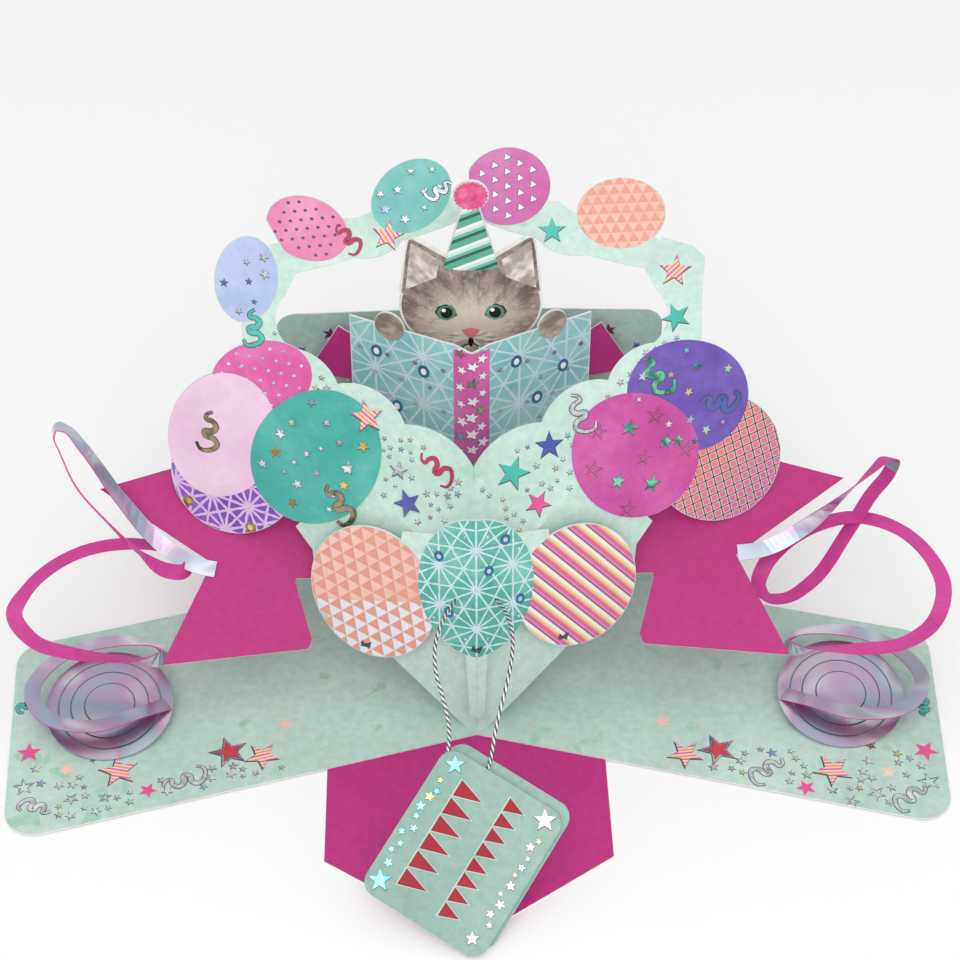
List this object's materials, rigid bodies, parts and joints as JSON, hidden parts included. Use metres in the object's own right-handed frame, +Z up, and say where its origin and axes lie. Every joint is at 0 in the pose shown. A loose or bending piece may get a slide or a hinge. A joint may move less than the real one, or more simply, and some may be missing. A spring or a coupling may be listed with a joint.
{
  "type": "pop up card",
  "caption": "Stand-up folded pop up card: hoop of balloons, gift box with a kitten, ribbon tails, curled streamers and a gift tag.",
  "frame": {"origin": "underside of the card, below the front end of the base's centre fold", "axes": "+Z up, +Y from the viewer to the back of the card, +X to the viewer's right along the longest side"},
  "size_m": [0.3066, 0.2091, 0.1546],
  "materials": {
    "mint_card": "smooth printed card with small foil shapes",
    "magenta_card": "satin printed card",
    "printed_card": "smooth printed card with watercolour balloons",
    "foil_card": "holographic foil on one face, magenta on the other",
    "tag_card": "smooth printed card with foil stars",
    "silver_cord": "twisted metallic thread"
  },
  "bodies": {
    "root": {"base_sheet": "mint_card", "under_sheet": "magenta_card", "wreath_sheet": "printed_card", "balloon_trio": "printed_card", "gift_box_front": "printed_card", "kitten_card": "printed_card", "rear_tails": "magenta_card", "back_wall": "mint_card", "ribbon_tails": "magenta_card", "streamer_left": "foil_card", "streamer_right": "foil_card", "tag_front": "tag_card", "tag_back": "tag_card", "tag_cord": "silver_cord"}
  },
  "joints": []
}
